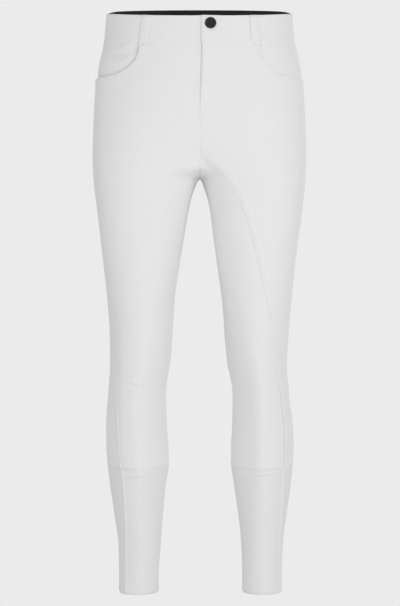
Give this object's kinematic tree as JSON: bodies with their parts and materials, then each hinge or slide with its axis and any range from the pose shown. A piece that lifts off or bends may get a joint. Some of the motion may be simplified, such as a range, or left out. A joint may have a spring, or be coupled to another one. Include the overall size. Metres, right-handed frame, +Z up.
{
  "type": "riding breeches",
  "caption": "White riding breeches, filled out as when worn: fly front with a metal button, belt loops, scooped pockets, a forward-set leg seam and stretch cuffs.",
  "frame": {"origin": "middle of the waistband's ring, at the middle plane, where the wearer holds it up", "axes": "+Z up, -Y to the wearer's front, +X to the wearer's left"},
  "size_m": [0.3716, 0.2559, 1.0291],
  "materials": {
    "white_cloth": "matt stretch weave",
    "white_stretch_cloth": "thin matt stretch knit",
    "black_facing": "matt ribbed elastic",
    "gunmetal": "satin gunmetal"
  },
  "bodies": {
    "root": {"front_left": "white_cloth", "front_right": "white_cloth", "back_left": "white_cloth", "back_right": "white_cloth", "cuff_left": "white_stretch_cloth", "cuff_right": "white_stretch_cloth", "pocket_facing_left": "white_cloth", "pocket_facing_right": "white_cloth", "waistband_left": "white_cloth", "waistband_right": "white_cloth", "facing_left": "black_facing", "facing_right": "black_facing", "fly_underlap": "white_cloth", "belt_loop_front_left": "white_cloth", "belt_loop_front_right": "white_cloth", "belt_loop_side_left": "white_cloth", "belt_loop_side_right": "white_cloth", "belt_loop_back": "white_cloth", "waist_button": "gunmetal"}
  },
  "joints": []
}
